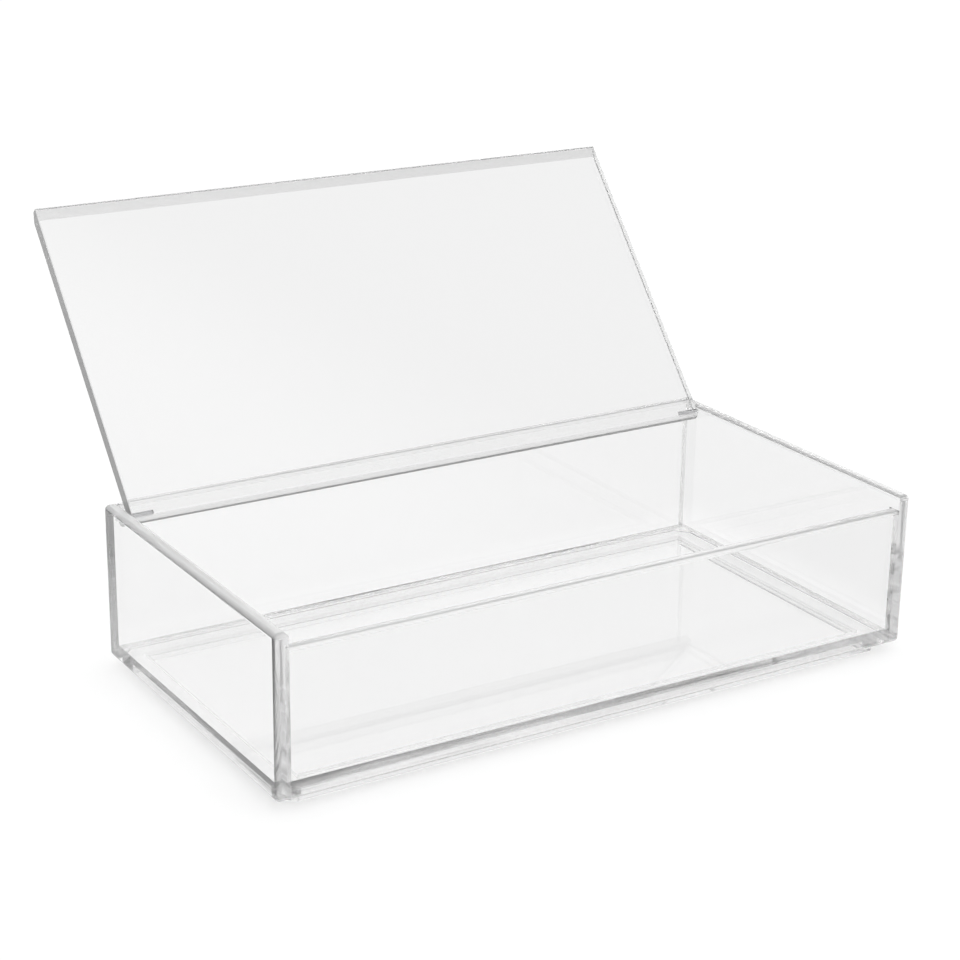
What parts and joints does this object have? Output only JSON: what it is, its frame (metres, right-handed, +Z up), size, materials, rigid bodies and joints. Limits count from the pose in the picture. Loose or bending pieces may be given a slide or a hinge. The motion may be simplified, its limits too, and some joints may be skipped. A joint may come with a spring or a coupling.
{
  "type": "storage box with hinged lid",
  "caption": "Shallow rectangular box of clear acrylic sheet on an inset base, with a flat lid that turns on short side pins and leans open on the back wall.",
  "frame": {"origin": "centre of the box's outline, on the surface that its base rails stand on", "axes": "+X along the length to the right, seen from the front; +Y to the back, towards the hinge; +Z up"},
  "size_m": [0.2, 0.158, 0.1193],
  "materials": {
    "clear_acrylic": "clear, polished",
    "pin_steel": "ground"
  },
  "bodies": {
    "box": {"left_end_wall": "clear_acrylic", "right_end_wall": "clear_acrylic", "front_wall": "clear_acrylic", "back_wall": "clear_acrylic", "floor_panel": "clear_acrylic", "front_base_rail": "clear_acrylic", "back_base_rail": "clear_acrylic", "left_base_rail": "clear_acrylic", "right_base_rail": "clear_acrylic"},
    "lid": {"lid_panel": "clear_acrylic", "left_hinge_pin": "pin_steel", "right_hinge_pin": "pin_steel"}
  },
  "joints": [
    {"name": "lid_hinge", "type": "hinge", "parent": "box", "child": "lid", "pos_m": [0, 0.04422, 0.0458], "axis": [1, 0, 0], "range_deg": [0, 130.5]}
  ]
}
